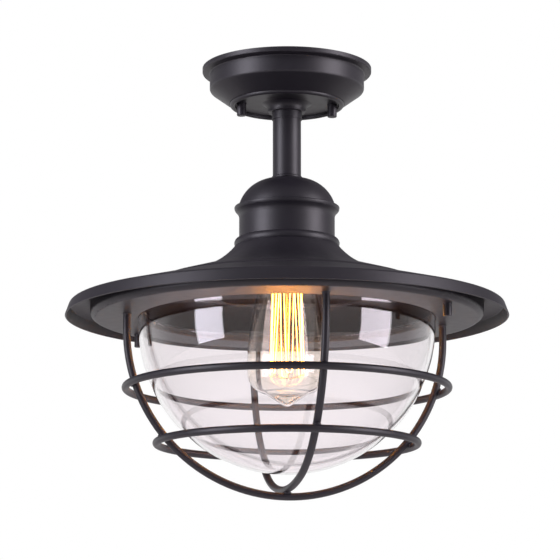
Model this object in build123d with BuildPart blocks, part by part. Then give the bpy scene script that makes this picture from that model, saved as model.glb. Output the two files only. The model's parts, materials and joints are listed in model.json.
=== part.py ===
from build123d import *
import os
from math import acos, cos, degrees, hypot, pi, radians, sin, sqrt, tan

# A caged ceiling lantern. A spun canopy and a short stem carry a wide shade with a stepped neck.
# A shallow pan under the shade's brim carries a clear glass bowl inside a wire cage.
# One filament lamp hangs in the middle.
# Millimetres. The origin is the middle of the ceiling plane, +Z is up, X runs through the canopy studs.

os.makedirs("parts", exist_ok=True)

# Sheet, wire and fits
SHEET = 1.2  # wall of the canopy, dome, shade and pan
WIRE_D = 6.0  # cage wire
FIT = 0.05  # radial play of a thread or a push fit
HOLE_PLAY = 0.3  # radial play of a bolt or a pipe in its hole
SEAT_GAP = 0.3  # gap between pieces that come apart
WELD_GAP = 0.1  # gap at a weld

# Strap, bar and studs above the canopy
BOX_SPACING = 88.9  # between the two screws of a ceiling box
SLOT_W = 4.8
SLOT_L = 14.0
STRAP_W = 22.0
STRAP_T = 2.0
STRAP_END = 4.5  # metal past each slot
BAR_W = 20.0
BAR_T = 2.0
BAR_END = 10.0  # metal past each stud
STUD_SPACING = 74.0
STUD_R = 2.0
STUD_PROUD = 1.0  # above the bar
LOCKNUT_AF = 7.0
LOCKNUT_T = 3.2
RIVET_R = 4.0
RIVET_BORE_R = 2.5
RIVET_SINK = 1.5  # depth and flare of its countersunk head
RIVET_HEAD_R = 6.5
RIVET_HEAD_T = 1.2
GROUND_X = 20.0
GROUND_R = 1.6
GROUND_AF = 8.0
GROUND_HEAD_T = 2.6

# Canopy
CANOPY_R = 69.0
RIM_H = 3.8
RIM_FALL = 1.0  # of the step under the rim
RIM_ROUND = 1.0
WALL_R = 63.0
WALL_FOOT = 18.1  # depth of the wall's lower end
WALL_ROUND = 2.6
CONE_ANGLE = 36.0
CANOPY_DEPTH = 29.5  # to the lower face of the bottom disc
FOOT_INSET = 0.7  # of the foot ring from the cone's lower edge
FOOT_W = 4.2
FOOT_H = 2.6
FOOT_ROUND = 2.3
FOOT_INNER_ROUND = 1.2

# Collar, stem and ring
COLLAR_FLARE_R = 20.5
COLLAR_R = 15.1
COLLAR_H = 7.4
COLLAR_EDGE_R = 0.9  # of its rolled edge
SLEEVE_R = 12.2
SLEEVE_LEN = 6.0  # below the rolled edge
STEM_R = 11.5
STEM_WALL = 1.5
STEM_LEN = 60.45
RING_R = 12.4
RING_T = 2.65
RING_ROUND = 1.2

# Lamp pipe and its nuts
PIPE_R = 4.9
PIPE_BORE_R = 3.5
PIPE_PROUD = 2.0  # above the top nut
PIPE_NUT_AF = 14.0
PIPE_NUT_T = 5.0
PIPE_WASHER_R = 9.0
PIPE_WASHER_T = 1.2

# Dome and shade
DOME_H = 23.0
DOME_FLAT_R = 10.8  # flat top under the stem's ring
DOME_OUT = 0.6  # of its lower edge past the neck
SPIGOT_H = 3.4  # raised middle of the shade's top, inside the dome
SPIGOT_INSET = 2.8  # from the dome's lower edge
SPIGOT_ROUND = 1.3
NECK_R = 38.7
NECK_LEN = 29.2  # between the middles of the two beads
BEAD_OUT = 3.9  # of both beads past the neck
BEAD_R = 4.2
LEDGE_ROUND = 0.8  # of the upper bead into the ledge under the dome
COVE_TURN = 50.0  # of the upper bead into the neck
BEAD_END = 35.0  # where the lower bead meets the flare, below its middle
FLARE_START = 51.7  # slope at the bead
FLARE_R = 60.5
DISC_SLOPE = 16.3
DISC_R = 104.0
STEP_H = 1.3
STEP_W = 0.6
STEP_ROUND = 1.4
BRIM_SLOPE = 14.4
BRIM_R = 173.1
LIP_BEND_R = 2.5
LIP_SLOPE = 70.0
LIP_LEN = 8.7

# Pan, glass and gasket
PAN_INSET = 15.3  # from the brim's outer edge
PAN_H = 13.4
PAN_ROUND = 4.8
GLASS_INSET = 38.8  # of the bowl from the pan's edge
GLASS_T = 3.0
GLASS_DROP = 5.3  # of the bowl's middle below the pan
GLASS_PLAY = 0.6  # in the pan's hole
FLANGE_W = 9.0
FLANGE_T = 4.0
GASKET_T = 1.0
GASKET_INSET = 1.5

# Cage
HOOP_PLAY = 1.9  # between the glass and the nearest wire
HOOP_LEG = 12.3  # straight end under the pan
RING_UPPER_DROP = 43.6  # below the hoops' middle
RING_LOWER_DROP = 87.8
CAGE_TURN = 9.3  # of the hoops from the stud line, in degrees
CORNER_LIFTS = 5.0  # how much tighter the front hoop's corner is, in wire steps
CAGE_STUD_INSET = 11.8  # from the pan's edge

# Blind nuts and washers
CANOPY_NUT_R = 3.8
CAGE_NUT_R = 3.4
NUT_H = 9.5
NUT_CAP = 1.5  # closed end
NUT_ROUND = 0.6
NUT_TIP_PLAY = 0.7  # between the stud's tip and the closed end
WASHER_T = 0.8
WASHER_RIM = 0.3  # past the nut

# Lamp socket
SOCKET_R = 19.5
CAP_TOP_T = 1.5
CAP_SKIRT_T = 0.7
CAP_BOSS_R = 7.0
CAP_BOSS_H = 2.9
SKIRT_LAP = 3.0  # over the porcelain
WIRE_ROOM = 7.0  # between the boss and the porcelain
SOCKET_WEB = 3.2
SOCKET_DEPTH = 30.8
SHELL_T = 0.5
SHELL_GAP = 0.2  # to the porcelain
SHELL_INSET = 2.0  # from both ends of the porcelain's bore
CONTACT_R = 4.5
CONTACT_T = 1.2
TERMINAL_Y = 11.0
TERMINAL_R = 1.5
TERMINAL_LIFT = 2.9
TERMINAL_HEAD_R = 3.0
TERMINAL_HEAD_T = 1.5

# Leads and their connectors
LEAD_R = 1.0
LEAD_Y = 1.4
LEAD_BEND = 4.0
LEAD_FOOT_BEND = 3.0
LEAD_RISE = 9.0  # over the end of the pipe
LEAD_OUT = 18.0
LEAD_IN_CONNECTOR = 4.0
CONNECTOR_Y = 23.0
CONNECTOR_L = 18.0
CONNECTOR_R = 6.0
CONNECTOR_TIP_R = 4.2

# Lamp
BULB_CONTACT_R = 4.8
BULB_CONTACT_H = 2.0
CONTACT_GAP = 0.1
INSULATOR_H = 3.5
INSULATOR_R = 5.2
BASE_LIP_R = 9.0
BASE_LIP_W = 1.2
BASE_H = 19.5
BASE_R = 13.1
BASE_WALL = 0.6
BASE_RIDGE = 0.5
BASE_PLAY = 0.4  # in the socket's shell
THREAD_PITCH = 3.63
THREAD_TURNS = 4
BULB_T = 0.9
BULB_NECK_R = 11.4
BULB_NECK_IN = 2.7  # of the neck's curve inside the base
BULB_NECK_END = 2.0
BULB_R = 32.25
BULB_SLOPE = 38.0  # steepest slope of the shoulder
BULB_SHOULDER_R = 40.0
BULB_SIDE_R = 240.0
BULB_SIDE_TURN = 14.6
BULB_LOW_R = 20.3
BULB_TIP_SLOPE = 25.0
BULB_TIP_R = 5.0
MOUNT_FLARE_H = 13.0
MOUNT_R = 2.4
BUTTON_R = 3.4
BUTTON_H = 2.0
POST_R = 1.0
HUB_R = 2.2
HUB_H = 2.0
HUB_DROP = 3.0  # below the lower hooks
FILAMENT_DROP = 20.0  # of the upper hooks below the lamp's base
FILAMENT_H = 72.0
FILAMENT_R = 0.35
FILAMENT_TOP_R = 11.5
FILAMENT_FOOT_R = 14.0
FILAMENT_HOOKS = 6
FILAMENT_TURN = 4.0  # of the first upper hook, in degrees
HOOK_R = 0.7
SUPPORT_R = 0.3

# Heights, from the ceiling down
STRAP_Z = -STRAP_T
BAR_Z = STRAP_Z - BAR_T
DISC_Z = -CANOPY_DEPTH
STEM_Z = DISC_Z - STEM_LEN
DOME_Z = STEM_Z - RING_T
LEDGE_Z = DOME_Z - DOME_H
SHADE_Z = LEDGE_Z + SPIGOT_H
UPPER_BEAD_Z = LEDGE_Z - LEDGE_ROUND
LOWER_BEAD_Z = UPPER_BEAD_Z - NECK_LEN
PLATE_Z = SHADE_Z - SHEET
PIPE_NUT_Z = PLATE_Z - PIPE_WASHER_T - PIPE_NUT_T
BOSS_Z = PIPE_NUT_Z - CAP_TOP_T - CAP_BOSS_H
SOCKET_Z = BOSS_Z - WIRE_ROOM
BORE_Z = SOCKET_Z - SOCKET_WEB
SOCKET_FOOT_Z = BORE_Z - SOCKET_DEPTH
BULB_Z = BORE_Z - CONTACT_T - CONTACT_GAP
INSULATOR_Z = BULB_Z - BULB_CONTACT_H
BASE_Z = INSULATOR_Z - INSULATOR_H
BASE_FOOT_Z = BASE_Z - BASE_H
TOP_NUT_Z = DISC_Z + SHEET + PIPE_WASHER_T
PIPE_TOP_Z = TOP_NUT_Z + PIPE_NUT_T + PIPE_PROUD

# Radii that follow from a fit
PIPE_HOLE_R = PIPE_R + HOLE_PLAY
STUD_HOLE_R = STUD_R + HOLE_PLAY
SHELL_IN_R = BASE_R + BASE_PLAY
SOCKET_BORE_R = SHELL_IN_R + SHELL_T + SHELL_GAP
CONE_FOOT_R = WALL_R - (CANOPY_DEPTH - WALL_FOOT) / tan(radians(CONE_ANGLE))
FOOT_R = CONE_FOOT_R - FOOT_INSET
DOME_R = NECK_R + DOME_OUT
SPIGOT_R = DOME_R - SPIGOT_INSET
BEAD_C = NECK_R + BEAD_OUT - BEAD_R
COVE_R = (BEAD_C + BEAD_R * cos(radians(COVE_TURN)) - NECK_R) / (1 - cos(radians(COVE_TURN)))
STUD_X = STUD_SPACING / 2
PAN_R = BRIM_R - PAN_INSET
CAGE_STUD_PITCH_R = PAN_R - CAGE_STUD_INSET
GLASS_R = PAN_R - GLASS_INSET
HOOP_LIFT = WIRE_D + WELD_GAP
HOOP_R = GLASS_R + HOOP_PLAY + HOOP_LIFT + WIRE_D / 2

# Ceiling strap with a slot for each box screw
with BuildPart() as box_strap:
    with BuildSketch(Plane.XY.offset(STRAP_Z)):
        Rectangle(STRAP_W, BOX_SPACING + SLOT_L + 2 * STRAP_END)
        with Locations((0, -BOX_SPACING / 2), (0, BOX_SPACING / 2)):
            SlotOverall(SLOT_L, SLOT_W, rotation=90, mode=Mode.SUBTRACT)
    extrude(amount=STRAP_T)
    fillet(box_strap.edges().filter_by(Axis.Z).group_by(Axis.Y)[0], STRAP_END)
    fillet(box_strap.edges().filter_by(Axis.Z).group_by(Axis.Y)[-1], STRAP_END)
    with BuildSketch(Plane.XZ):
        with BuildLine():
            Polyline(
                (0, 0),
                (RIVET_R + RIVET_SINK + FIT, 0),
                (RIVET_R + FIT, -RIVET_SINK),
                (RIVET_R + FIT, STRAP_Z),
                (0, STRAP_Z),
                close=True,
            )
        make_face()
    revolve(axis=Axis.Z, mode=Mode.SUBTRACT)
box_strap.part.label = "box_strap"
export_step(box_strap.part, "parts/box_strap.step")

# Bar across the strap, with holes for the rivet, the studs and the earth screw
with BuildPart() as stud_bar:
    with BuildSketch(Plane.XY.offset(BAR_Z)):
        Rectangle(STUD_SPACING + 2 * BAR_END, BAR_W)
        Circle(RIVET_R + FIT, mode=Mode.SUBTRACT)
        with Locations((-STUD_X, 0), (STUD_X, 0)):
            Circle(STUD_R + FIT, mode=Mode.SUBTRACT)
        with Locations((GROUND_X, 0)):
            Circle(GROUND_R + FIT, mode=Mode.SUBTRACT)
    extrude(amount=BAR_T)
    fillet(stud_bar.edges().filter_by(Axis.Z).group_by(Axis.X)[0], BAR_W / 4)
    fillet(stud_bar.edges().filter_by(Axis.Z).group_by(Axis.X)[-1], BAR_W / 4)
stud_bar.part.label = "stud_bar"
export_step(stud_bar.part, "parts/stud_bar.step")

# Hollow rivet, sunk flush into the strap and headed under the bar
with BuildPart() as bar_rivet:
    with BuildSketch(Plane.XZ):
        with BuildLine():
            Polyline(
                (RIVET_BORE_R, 0),
                (RIVET_R + RIVET_SINK, 0),
                (RIVET_R, -RIVET_SINK),
                (RIVET_R, BAR_Z),
                (RIVET_HEAD_R, BAR_Z),
                (RIVET_HEAD_R, BAR_Z - RIVET_HEAD_T),
                (RIVET_BORE_R, BAR_Z - RIVET_HEAD_T),
                close=True,
            )
        make_face()
    revolve(axis=Axis.Z)
bar_rivet.part.label = "bar_rivet"
export_step(bar_rivet.part, "parts/bar_rivet.step")

# Two studs from the bar down through the canopy
CANOPY_NUT_Z = DISC_Z - WASHER_T
STUD_TIP_Z = CANOPY_NUT_Z - NUT_H + NUT_CAP + NUT_TIP_PLAY
STUD_TOP_Z = STRAP_Z + STUD_PROUD
with BuildPart() as canopy_studs:
    with BuildSketch(Plane.XY.offset(STUD_TIP_Z)):
        with Locations((-STUD_X, 0), (STUD_X, 0)):
            Circle(STUD_R)
    extrude(amount=STUD_TOP_Z - STUD_TIP_Z)
canopy_studs.part.label = "canopy_studs"
export_step(canopy_studs.part, "parts/canopy_studs.step")

# Hexagon locknuts of the studs, against the bar
with BuildPart() as stud_locknuts:
    with BuildSketch(Plane.XY.offset(BAR_Z - LOCKNUT_T)):
        with Locations((-STUD_X, 0), (STUD_X, 0)):
            RegularPolygon(LOCKNUT_AF / 2, 6, major_radius=False)
            Circle(STUD_R + FIT, mode=Mode.SUBTRACT)
    extrude(amount=LOCKNUT_T)
stud_locknuts.part.label = "stud_locknuts"
export_step(stud_locknuts.part, "parts/stud_locknuts.step")

# Earth screw with a hexagon head under the bar
with BuildPart() as ground_screw:
    with BuildSketch(Plane.XY.offset(BAR_Z - GROUND_HEAD_T)):
        with Locations((GROUND_X, 0)):
            RegularPolygon(GROUND_AF / 2, 6, major_radius=False)
    extrude(amount=GROUND_HEAD_T)
    with BuildSketch(Plane.XY.offset(BAR_Z)):
        with Locations((GROUND_X, 0)):
            Circle(GROUND_R)
    extrude(amount=BAR_T + STUD_PROUD)
ground_screw.part.label = "ground_screw"
export_step(ground_screw.part, "parts/ground_screw.step")

# Canopy: rim, step, wall, cone and bottom disc in one sheet, with a foot ring round the disc
with BuildPart() as canopy:
    with BuildSketch(Plane.XZ):
        with BuildLine():
            FilletPolyline(
                (CANOPY_R, 0),
                (CANOPY_R, -RIM_H),
                (WALL_R, -RIM_H - RIM_FALL),
                (WALL_R, -WALL_FOOT),
                (CONE_FOOT_R, DISC_Z),
                (PIPE_HOLE_R, DISC_Z),
                radius=[RIM_ROUND, RIM_ROUND, WALL_ROUND, 0],
            )
            offset(amount=SHEET, side=Side.RIGHT)
        make_face()
    revolve(axis=Axis.Z)
    with BuildSketch(Plane.XZ):
        with BuildLine():
            FilletPolyline(
                (FOOT_R - FOOT_W, DISC_Z + SHEET / 2),
                (FOOT_R - FOOT_W, DISC_Z - FOOT_H),
                (FOOT_R, DISC_Z - FOOT_H),
                (FOOT_R, DISC_Z + SHEET / 2),
                radius=[0, FOOT_INNER_ROUND, FOOT_ROUND, 0],
                close=True,
            )
        make_face()
    revolve(axis=Axis.Z)
    with BuildSketch(Plane.XY.offset(DISC_Z)):
        with Locations((-STUD_X, 0), (STUD_X, 0)):
            Circle(STUD_HOLE_R)
    extrude(amount=SHEET, mode=Mode.SUBTRACT)
canopy.part.label = "canopy"
export_step(canopy.part, "parts/canopy.step")

# Flared collar round the top of the stem: a bell with a rolled edge, and a short sleeve below it
COLLAR_Z = DISC_Z - COLLAR_H
SLEEVE_Z = COLLAR_Z - SLEEVE_LEN
with BuildPart() as canopy_collar:
    with BuildSketch(Plane.XZ):
        with BuildLine():
            waist = (COLLAR_R, COLLAR_Z + COLLAR_EDGE_R)
            bell = TangentArc(waist, (COLLAR_FLARE_R, DISC_Z), tangent=(0, 1))
            edge = JernArc(waist, (0, -1), COLLAR_EDGE_R, -90)
            Polyline(
                edge @ 1,
                (SLEEVE_R, COLLAR_Z),
                (SLEEVE_R, SLEEVE_Z),
                (STEM_R + FIT, SLEEVE_Z),
                (STEM_R + FIT, DISC_Z),
                bell @ 1,
            )
        make_face()
    revolve(axis=Axis.Z)
canopy_collar.part.label = "canopy_collar"
export_step(canopy_collar.part, "parts/canopy_collar.step")

# Stem tube, from the canopy's disc to the ring
with BuildPart() as stem_tube:
    with BuildSketch(Plane.XY.offset(STEM_Z)):
        Circle(STEM_R)
        Circle(STEM_R - STEM_WALL, mode=Mode.SUBTRACT)
    extrude(amount=STEM_LEN)
stem_tube.part.label = "stem_tube"
export_step(stem_tube.part, "parts/stem_tube.step")

# Ring between the stem and the dome
with BuildPart() as stem_ring:
    with BuildSketch(Plane.XY.offset(DOME_Z)):
        Circle(RING_R)
        Circle(PIPE_HOLE_R, mode=Mode.SUBTRACT)
    extrude(amount=RING_T)
    fillet(stem_ring.edges().filter_by(GeomType.CIRCLE).sort_by(SortBy.RADIUS)[-2:], RING_ROUND)
stem_ring.part.label = "stem_ring"
export_step(stem_ring.part, "parts/stem_ring.step")

# Dome: a flat top and one round side, level on the ledge of the shade
DOME_SIDE_R = ((DOME_R - DOME_FLAT_R) ** 2 + DOME_H**2) / (2 * DOME_H)
DOME_LINING_R = DOME_FLAT_R + sqrt((DOME_SIDE_R - SHEET) ** 2 - (DOME_SIDE_R - DOME_H) ** 2)  # at the ledge
with BuildPart() as dome_cap:
    with BuildSketch(Plane.XZ):
        with BuildLine():
            flat = Line((PIPE_HOLE_R, DOME_Z), (DOME_FLAT_R, DOME_Z))
            side = TangentArc(flat @ 1, (DOME_R, LEDGE_Z), tangent=(1, 0))
            ceiling = Line((PIPE_HOLE_R, DOME_Z - SHEET), (DOME_FLAT_R, DOME_Z - SHEET))
            lining = TangentArc(ceiling @ 1, (DOME_LINING_R, LEDGE_Z), tangent=(1, 0))
            Line(side @ 1, lining @ 1)
            Line(flat @ 0, ceiling @ 0)
        make_face()
    revolve(axis=Axis.Z)
dome_cap.part.label = "dome_cap"
export_step(dome_cap.part, "parts/dome_cap.step")

# Shade: spigot, ledge, two beads and the neck between them, flare, raised disc, brim and lip in one sheet
LOWER_BEAD_TOP = acos((NECK_R - BEAD_C) / BEAD_R)
DISC_FALL = tan(radians(DISC_SLOPE))
BRIM_FALL = tan(radians(BRIM_SLOPE))
FLARE_Z = LOWER_BEAD_Z - BEAD_R * sin(radians(BEAD_END))
FLARE_FOOT_R = (
    BEAD_C
    + BEAD_R * cos(radians(BEAD_END))
    + FLARE_R * (sin(radians(FLARE_START)) - sin(radians(DISC_SLOPE)))
)
FLARE_FOOT_Z = FLARE_Z - FLARE_R * (cos(radians(DISC_SLOPE)) - cos(radians(FLARE_START)))
STEP_TOP_Z = FLARE_FOOT_Z - (DISC_R - FLARE_FOOT_R) * DISC_FALL
STEP_FOOT_R = DISC_R + STEP_W
STEP_FOOT_Z = STEP_TOP_Z - STEP_H
with BuildPart() as shade:
    with BuildSketch(Plane.XZ):
        with BuildLine():
            plate = FilletPolyline(
                (PIPE_HOLE_R, SHADE_Z),
                (SPIGOT_R, SHADE_Z),
                (SPIGOT_R, LEDGE_Z),
                (NECK_R + BEAD_OUT - LEDGE_ROUND, LEDGE_Z),
                radius=SPIGOT_ROUND,
            )
            ledge_edge = JernArc(plate @ 1, (1, 0), LEDGE_ROUND, -90)
            upper_bead = JernArc(ledge_edge @ 1, (0, -1), BEAD_R, -COVE_TURN)
            cove = JernArc(upper_bead @ 1, upper_bead % 1, COVE_R, COVE_TURN)
            neck = Line(cove @ 1, (NECK_R, LOWER_BEAD_Z + BEAD_R * sin(LOWER_BEAD_TOP)))
            lower_bead = CenterArc(
                (BEAD_C, LOWER_BEAD_Z), BEAD_R, degrees(LOWER_BEAD_TOP), -degrees(LOWER_BEAD_TOP) - BEAD_END
            )
            flare_way = (cos(radians(FLARE_START)), -sin(radians(FLARE_START)))
            flare = JernArc(lower_bead @ 1, flare_way, FLARE_R, FLARE_START - DISC_SLOPE)
            brim = FilletPolyline(
                flare @ 1,
                (DISC_R, STEP_TOP_Z),
                (STEP_FOOT_R, STEP_FOOT_Z),
                (BRIM_R, STEP_FOOT_Z - (BRIM_R - STEP_FOOT_R) * BRIM_FALL),
                radius=STEP_ROUND,
            )
            bend = JernArc(brim @ 1, brim % 1, LIP_BEND_R, BRIM_SLOPE - LIP_SLOPE)
            Line(bend @ 1, bend @ 1 + (bend % 1) * LIP_LEN)
            offset(amount=SHEET, side=Side.RIGHT)
        make_face()
    revolve(axis=Axis.Z)
shade.part.label = "shade"
export_step(shade.part, "parts/shade.step")


def brim_underside(radius):
    """Height of the brim's lower face at a radius."""
    return STEP_FOOT_Z - (radius - STEP_FOOT_R) * BRIM_FALL - SHEET / cos(radians(BRIM_SLOPE))


# Threaded pipe through stem, dome and shade, into the socket's cap
with BuildPart() as lamp_pipe:
    with BuildSketch(Plane.XY.offset(BOSS_Z)):
        Circle(PIPE_R)
        Circle(PIPE_BORE_R, mode=Mode.SUBTRACT)
    extrude(amount=PIPE_TOP_Z - BOSS_Z)
lamp_pipe.part.label = "lamp_pipe"
export_step(lamp_pipe.part, "parts/lamp_pipe.step")

# Washer and hexagon nut at each end of the pipe
for end, washer_z, nut_z in (
    ("top", DISC_Z + SHEET, TOP_NUT_Z),
    ("bottom", PLATE_Z - PIPE_WASHER_T, PIPE_NUT_Z),
):
    with BuildPart() as pipe_washer:
        with BuildSketch(Plane.XY.offset(washer_z)):
            Circle(PIPE_WASHER_R)
            Circle(PIPE_R + FIT, mode=Mode.SUBTRACT)
        extrude(amount=PIPE_WASHER_T)
    pipe_washer.part.label = f"pipe_{end}_washer"
    export_step(pipe_washer.part, f"parts/pipe_{end}_washer.step")

    with BuildPart() as pipe_nut:
        with BuildSketch(Plane.XY.offset(nut_z)):
            RegularPolygon(PIPE_NUT_AF / 2, 6, major_radius=False)
            Circle(PIPE_R + FIT, mode=Mode.SUBTRACT)
        extrude(amount=PIPE_NUT_T)
    pipe_nut.part.label = f"pipe_{end}_nut"
    export_step(pipe_nut.part, f"parts/pipe_{end}_nut.step")

# Metal cap of the socket, screwed on the pipe and lapped over the porcelain
SKIRT_R = SOCKET_R + WELD_GAP
SKIRT_Z = SOCKET_Z - SKIRT_LAP
with BuildPart() as socket_cap:
    with BuildSketch(Plane.XZ):
        with BuildLine():
            Polyline(
                (PIPE_R + FIT, PIPE_NUT_Z),
                (SKIRT_R + CAP_SKIRT_T, PIPE_NUT_Z),
                (SKIRT_R + CAP_SKIRT_T, SKIRT_Z),
                (SKIRT_R, SKIRT_Z),
                (SKIRT_R, PIPE_NUT_Z - CAP_TOP_T),
                (CAP_BOSS_R, PIPE_NUT_Z - CAP_TOP_T),
                (CAP_BOSS_R, BOSS_Z),
                (PIPE_R + FIT, BOSS_Z),
                close=True,
            )
        make_face()
    revolve(axis=Axis.Z)
    fillet(socket_cap.edges().filter_by(GeomType.CIRCLE).sort_by(Axis.Z)[-1], CAP_TOP_T * 0.9)
socket_cap.part.label = "socket_cap"
export_step(socket_cap.part, "parts/socket_cap.step")

# Porcelain of the socket: a closed top and a deep bore
with BuildPart() as socket_body:
    with BuildSketch(Plane.XY.offset(SOCKET_FOOT_Z)):
        Circle(SOCKET_R)
    extrude(amount=SOCKET_Z - SOCKET_FOOT_Z)
    with BuildSketch(Plane.XY.offset(SOCKET_FOOT_Z)):
        Circle(SOCKET_BORE_R)
    extrude(amount=SOCKET_DEPTH, mode=Mode.SUBTRACT)
    fillet(socket_body.edges().group_by(Axis.Z)[0], (SOCKET_R - SOCKET_BORE_R) * 0.3)
socket_body.part.label = "socket_body"
export_step(socket_body.part, "parts/socket_body.step")

# Screw shell in the porcelain's bore
with BuildPart() as socket_shell:
    with BuildSketch(Plane.XY.offset(SOCKET_FOOT_Z + SHELL_INSET)):
        Circle(SHELL_IN_R + SHELL_T)
        Circle(SHELL_IN_R, mode=Mode.SUBTRACT)
    extrude(amount=SOCKET_DEPTH - 2 * SHELL_INSET)
socket_shell.part.label = "socket_shell"
export_step(socket_shell.part, "parts/socket_shell.step")

# Middle contact on the floor of the bore
with BuildPart() as socket_contact:
    with BuildSketch(Plane.XY.offset(BORE_Z - CONTACT_T)):
        Circle(CONTACT_R)
    extrude(amount=CONTACT_T)
socket_contact.part.label = "socket_contact"
export_step(socket_contact.part, "parts/socket_contact.step")

# Two terminal screws on top of the porcelain
with BuildPart() as terminal_screws:
    with BuildSketch(Plane.XY.offset(SOCKET_Z)):
        with Locations((0, -TERMINAL_Y), (0, TERMINAL_Y)):
            Circle(TERMINAL_R)
    extrude(amount=TERMINAL_LIFT)
    with BuildSketch(Plane.XY.offset(SOCKET_Z + TERMINAL_LIFT)):
        with Locations((0, -TERMINAL_Y), (0, TERMINAL_Y)):
            Circle(TERMINAL_HEAD_R)
    extrude(amount=TERMINAL_HEAD_T)
terminal_screws.part.label = "terminal_screws"
export_step(terminal_screws.part, "parts/terminal_screws.step")

# Two leads, from a terminal screw up the pipe, over its end and down into a connector on the canopy's disc
CONNECTOR_Z = DISC_Z + SHEET + CONNECTOR_R
for name, way in (("line_lead", 1), ("neutral_lead", -1)):
    with BuildPart() as lead:
        with BuildLine(Plane.YZ) as route:
            FilletPolyline(
                (way * (TERMINAL_Y - TERMINAL_R - WELD_GAP), SOCKET_Z + TERMINAL_LIFT / 2),
                (way * LEAD_Y, SOCKET_Z + TERMINAL_LIFT / 2),
                (way * LEAD_Y, PIPE_TOP_Z + LEAD_RISE),
                (way * LEAD_OUT, PIPE_TOP_Z + LEAD_RISE),
                (way * LEAD_OUT, CONNECTOR_Z),
                (way * (CONNECTOR_Y + LEAD_IN_CONNECTOR), CONNECTOR_Z),
                radius=[LEAD_FOOT_BEND, LEAD_BEND, LEAD_BEND, LEAD_BEND],
            )
        with BuildSketch(Plane(route.line @ 0, z_dir=route.line % 0)):
            Circle(LEAD_R)
        sweep(path=route.line)
    lead.part.label = name
    export_step(lead.part, f"parts/{name}.step")

# Twist-on connectors of the two leads
with BuildPart() as wire_connectors:
    for way in (1, -1):
        mouth = Plane((0, way * CONNECTOR_Y, CONNECTOR_Z), z_dir=(0, way, 0))
        with BuildSketch(mouth):
            Circle(CONNECTOR_R)
        with BuildSketch(mouth.offset(CONNECTOR_L)):
            Circle(CONNECTOR_TIP_R)
        loft()
        with BuildSketch(mouth):
            Circle(LEAD_R + FIT)
        extrude(amount=LEAD_IN_CONNECTOR + WELD_GAP, mode=Mode.SUBTRACT)
wire_connectors.part.label = "wire_connectors"
export_step(wire_connectors.part, "parts/wire_connectors.step")

# Pan under the brim: a drum wall, a rounded edge and a bottom plate with a hole for the glass
PAN_TOP_Z = brim_underside(PAN_R) - SEAT_GAP
PAN_Z = PAN_TOP_Z - PAN_H
CAGE_STUD_ANGLE = radians(CAGE_TURN + 135)
CAGE_STUD_X = CAGE_STUD_PITCH_R * cos(CAGE_STUD_ANGLE)
CAGE_STUD_Y = CAGE_STUD_PITCH_R * sin(CAGE_STUD_ANGLE)
CAGE_STUD_SPOTS = ((CAGE_STUD_X, CAGE_STUD_Y), (-CAGE_STUD_X, -CAGE_STUD_Y))
with BuildPart() as cage_pan:
    with BuildSketch(Plane.XZ):
        with BuildLine():
            FilletPolyline(
                (PAN_R, PAN_TOP_Z),
                (PAN_R, PAN_Z),
                (GLASS_R + GLASS_PLAY, PAN_Z),
                radius=[PAN_ROUND],
            )
            offset(amount=SHEET, side=Side.RIGHT)
        make_face()
    revolve(axis=Axis.Z)
    with BuildSketch(Plane.XY.offset(PAN_Z)):
        with Locations(*CAGE_STUD_SPOTS):
            Circle(STUD_HOLE_R)
    extrude(amount=SHEET, mode=Mode.SUBTRACT)
cage_pan.part.label = "cage_pan"
export_step(cage_pan.part, "parts/cage_pan.step")

# Two studs welded under the brim, cut to its slope
CAGE_NUT_Z = PAN_Z - WASHER_T
CAGE_STUD_TIP_Z = CAGE_NUT_Z - NUT_H + NUT_CAP + NUT_TIP_PLAY
with BuildPart() as shade_studs:
    with BuildSketch(Plane.XY.offset(CAGE_STUD_TIP_Z)):
        with Locations(*CAGE_STUD_SPOTS):
            Circle(STUD_R)
    extrude(amount=brim_underside(CAGE_STUD_PITCH_R) + STUD_R - CAGE_STUD_TIP_Z)
    with BuildSketch(Plane.XZ):
        with BuildLine():
            inner_r = CAGE_STUD_PITCH_R - 2 * STUD_R
            outer_r = CAGE_STUD_PITCH_R + 2 * STUD_R
            Polyline(
                (inner_r, brim_underside(inner_r) - WELD_GAP),
                (outer_r, brim_underside(outer_r) - WELD_GAP),
                (outer_r, STEP_FOOT_Z),
                (inner_r, STEP_FOOT_Z),
                close=True,
            )
        make_face()
    revolve(axis=Axis.Z, mode=Mode.SUBTRACT)
shade_studs.part.label = "shade_studs"
export_step(shade_studs.part, "parts/shade_studs.step")

# Gasket between the pan's plate and the glass
with BuildPart() as glass_gasket:
    with BuildSketch(Plane.XY.offset(PAN_Z + SHEET)):
        Circle(GLASS_R + FLANGE_W)
        Circle(GLASS_R + GASKET_INSET, mode=Mode.SUBTRACT)
    extrude(amount=GASKET_T)
glass_gasket.part.label = "glass_gasket"
export_step(glass_gasket.part, "parts/glass_gasket.step")

# Glass bowl: a half sphere, a short wall through the pan's hole and a flange on the gasket
GLASS_Z = PAN_Z - GLASS_DROP
FLANGE_Z = PAN_Z + SHEET + GASKET_T
GLASS_IN_R = GLASS_R - GLASS_T
with BuildPart() as glass_bowl:
    with BuildSketch(Plane.XZ):
        with BuildLine():
            outer = CenterArc((0, GLASS_Z), GLASS_R, -90, 90)
            inner = CenterArc((0, GLASS_Z), GLASS_IN_R, -90, 90)
            Polyline(
                outer @ 1,
                (GLASS_R, FLANGE_Z),
                (GLASS_R + FLANGE_W, FLANGE_Z),
                (GLASS_R + FLANGE_W, FLANGE_Z + FLANGE_T),
                (GLASS_IN_R, FLANGE_Z + FLANGE_T),
                inner @ 1,
            )
            Line(inner @ 0, outer @ 0)
        make_face()
    revolve(axis=Axis.Z)
glass_bowl.part.label = "glass_bowl"
export_step(glass_bowl.part, "parts/glass_bowl.step")

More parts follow.
